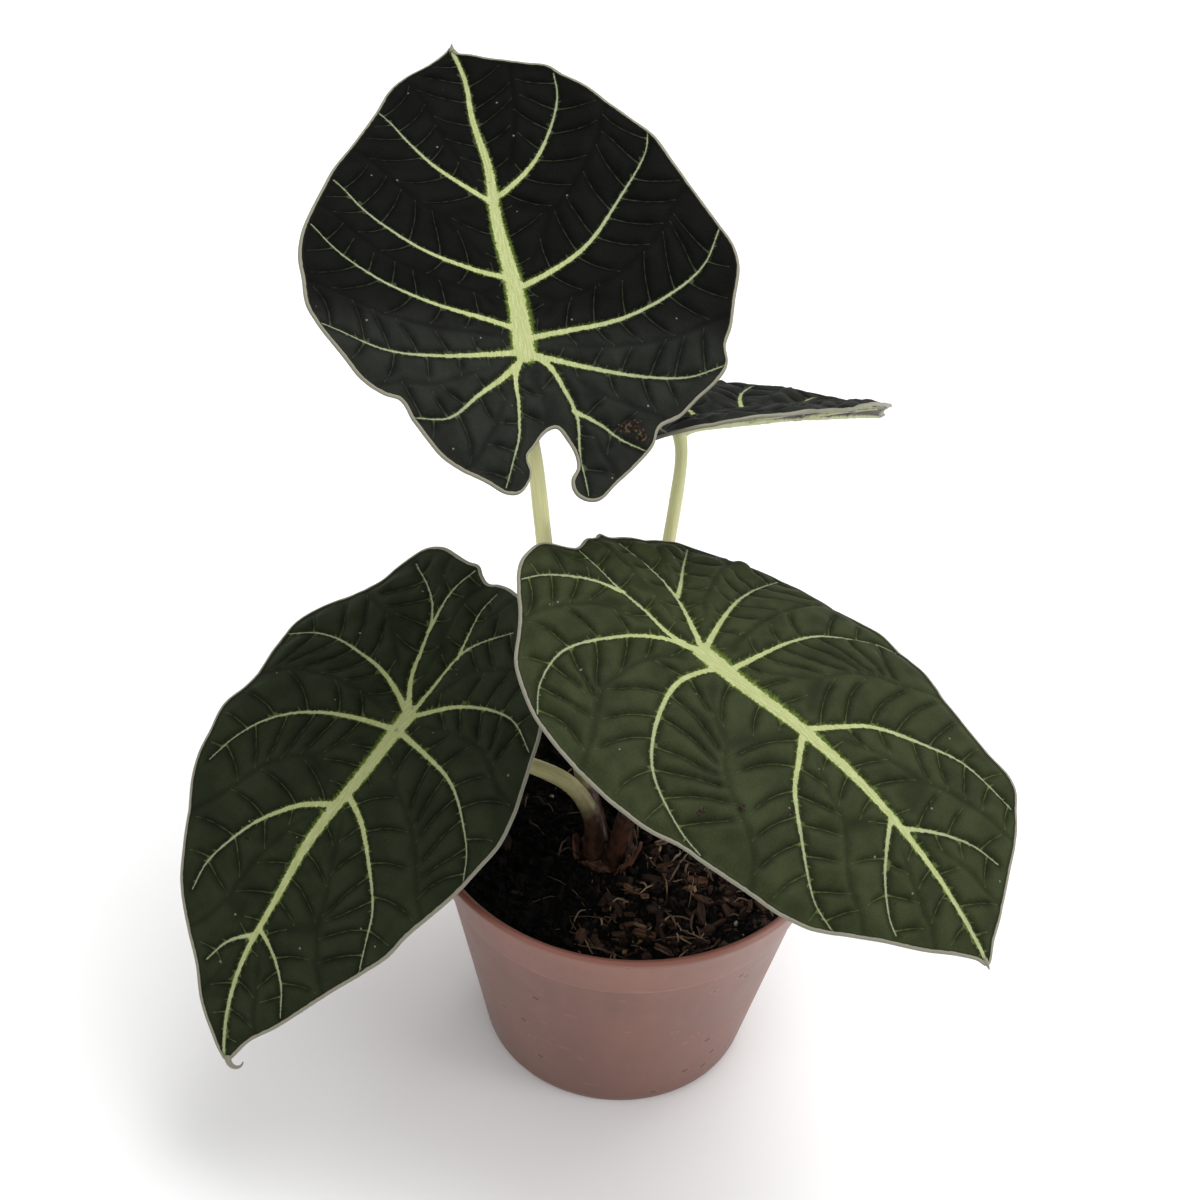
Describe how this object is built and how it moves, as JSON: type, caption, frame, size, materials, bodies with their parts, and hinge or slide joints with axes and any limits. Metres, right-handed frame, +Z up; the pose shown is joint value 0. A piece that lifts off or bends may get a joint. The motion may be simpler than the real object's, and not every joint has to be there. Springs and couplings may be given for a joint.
{
  "type": "potted alocasia",
  "caption": "Small potted plant with velvety dark heart-shaped leaves and pale veins, growing from bark mix in a tapered nursery pot.",
  "frame": {"origin": "centre of the underside of the pot, where it stands", "axes": "+Z up along the pot's axis; -Y is the front, the side the two lower leaves hang over"},
  "size_m": [0.2284, 0.2373, 0.2561],
  "materials": {
    "pot": "matte terracotta-coloured plastic with fine scratches",
    "mix": "moist dark bark and peat mix",
    "stem_base": "corky, brown",
    "sheath": "dry, papery, rusty brown",
    "stalk": "smooth, waxy, cream green",
    "dark_leaf": "velvety near-black green with pale veins",
    "green_leaf": "velvety dark green with pale veins",
    "bark": "rough, dry",
    "perlite": "chalky"
  },
  "bodies": {
    "root": {"nursery_pot": "pot", "potting_mix": "mix", "stem_base": "stem_base", "dry_sheath": "sheath", "stalk_upper": "stalk", "stalk_front_left": "stalk", "stalk_front_right": "stalk", "stalk_back_right": "stalk", "leaf_upper": "dark_leaf", "leaf_back_right": "dark_leaf", "leaf_front_left": "green_leaf", "leaf_front_right": "green_leaf", "bark_chip_01": "bark", "bark_chip_02": "bark", "bark_chip_03": "bark", "bark_chip_04": "bark", "bark_chip_05": "bark", "bark_chip_06": "bark", "bark_chip_07": "bark", "bark_chip_08": "bark", "bark_chip_09": "bark", "bark_chip_10": "bark", "perlite_01": "perlite", "perlite_02": "perlite", "perlite_03": "perlite", "perlite_04": "perlite"}
  },
  "joints": []
}
